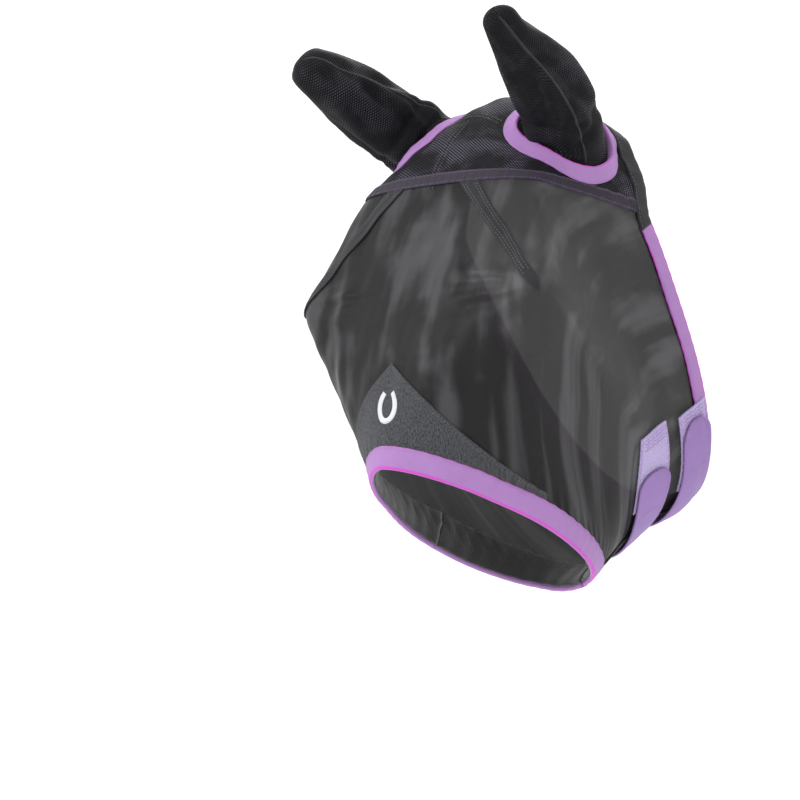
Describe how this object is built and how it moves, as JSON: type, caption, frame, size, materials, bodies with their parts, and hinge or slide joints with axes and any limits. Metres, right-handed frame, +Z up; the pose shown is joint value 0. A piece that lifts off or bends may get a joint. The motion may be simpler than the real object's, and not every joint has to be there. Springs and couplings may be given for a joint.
{
  "type": "horse fly mask",
  "caption": "Black see-through mesh fly mask for a horse, with two ear covers, purple edge bindings and a jaw closure with two hook-and-loop straps.",
  "frame": {"origin": "the crown seat: on the middle line at the top of the head between the ears, where the hood rests on the poll", "axes": "+Z up, -Y the way the horse faces, +X the horse's left (the near side)"},
  "size_m": [0.264, 0.3396, 0.463],
  "materials": {
    "fine_mesh": "satin",
    "crown_cloth": "satin",
    "purple_binding": "matte",
    "poll_binding": "matte",
    "heather_patch": "matte",
    "padded_lining": "matte",
    "loop_pile": "matte",
    "hook_pad": "matte",
    "strap_webbing": "matte",
    "brow_tape": "matte",
    "seam_tape": "matte"
  },
  "bodies": {
    "hood": {"face_mesh": "fine_mesh", "near_crown_panel": "crown_cloth", "off_crown_panel": "crown_cloth", "poll_panel": "crown_cloth", "near_dart_tape": "crown_cloth", "off_dart_tape": "seam_tape", "brow_tape": "brow_tape", "crown_centre_tape": "seam_tape", "poll_seam_tape": "seam_tape", "nose_patch": "heather_patch", "near_ear_ring": "purple_binding", "off_ear_ring": "purple_binding", "nose_binding": "purple_binding", "poll_binding": "poll_binding", "near_rear_binding": "purple_binding", "off_rear_binding": "purple_binding", "nose_lining": "padded_lining", "near_edge_tape": "crown_cloth", "upper_loop_patch": "loop_pile", "lower_loop_patch": "loop_pile"},
    "jaw_flap": {"flap_mesh": "fine_mesh", "flap_nose_binding": "purple_binding", "flap_rear_binding": "purple_binding", "flap_nose_lining": "padded_lining", "flap_edge_tape": "seam_tape", "upper_strap_anchor": "strap_webbing", "lower_strap_anchor": "strap_webbing"},
    "upper_strap": {"upper_strap": "strap_webbing", "upper_hook_pad": "hook_pad"},
    "lower_strap": {"lower_strap": "strap_webbing", "lower_hook_pad": "hook_pad"},
    "near_ear_cover": {"near_ear_front_panel": "crown_cloth", "near_ear_back_panel": "crown_cloth"},
    "off_ear_cover": {"off_ear_front_panel": "crown_cloth", "off_ear_back_panel": "crown_cloth"}
  },
  "joints": [
    {"name": "jaw_flap_fold", "type": "hinge", "parent": "hood", "child": "jaw_flap", "pos_m": [-0.0795, 0.026, -0.3495], "axis": [-0.0471, 0.8096, 0.585], "range_deg": [0, 55]},
    {"name": "upper_strap_fold", "type": "hinge", "parent": "jaw_flap", "child": "upper_strap", "pos_m": [-0.024, 0.19622, -0.32722], "axis": [0, 0.866, 0.5], "range_deg": [0, 100]},
    {"name": "lower_strap_fold", "type": "hinge", "parent": "jaw_flap", "child": "lower_strap", "pos_m": [-0.024, 0.15021, -0.35124], "axis": [0, 0.866, 0.5], "range_deg": [0, 100]},
    {"name": "near_ear_tip", "type": "hinge", "parent": "hood", "child": "near_ear_cover", "pos_m": [0.073, 0.015, -0.034], "axis": [-0.6932, 0.0073, 0.7207], "range_deg": [0, 28]},
    {"name": "off_ear_tip", "type": "hinge", "parent": "hood", "child": "off_ear_cover", "pos_m": [-0.073, 0.015, -0.034], "axis": [-0.6932, -0.0073, -0.7207], "range_deg": [0, 28]}
  ]
}
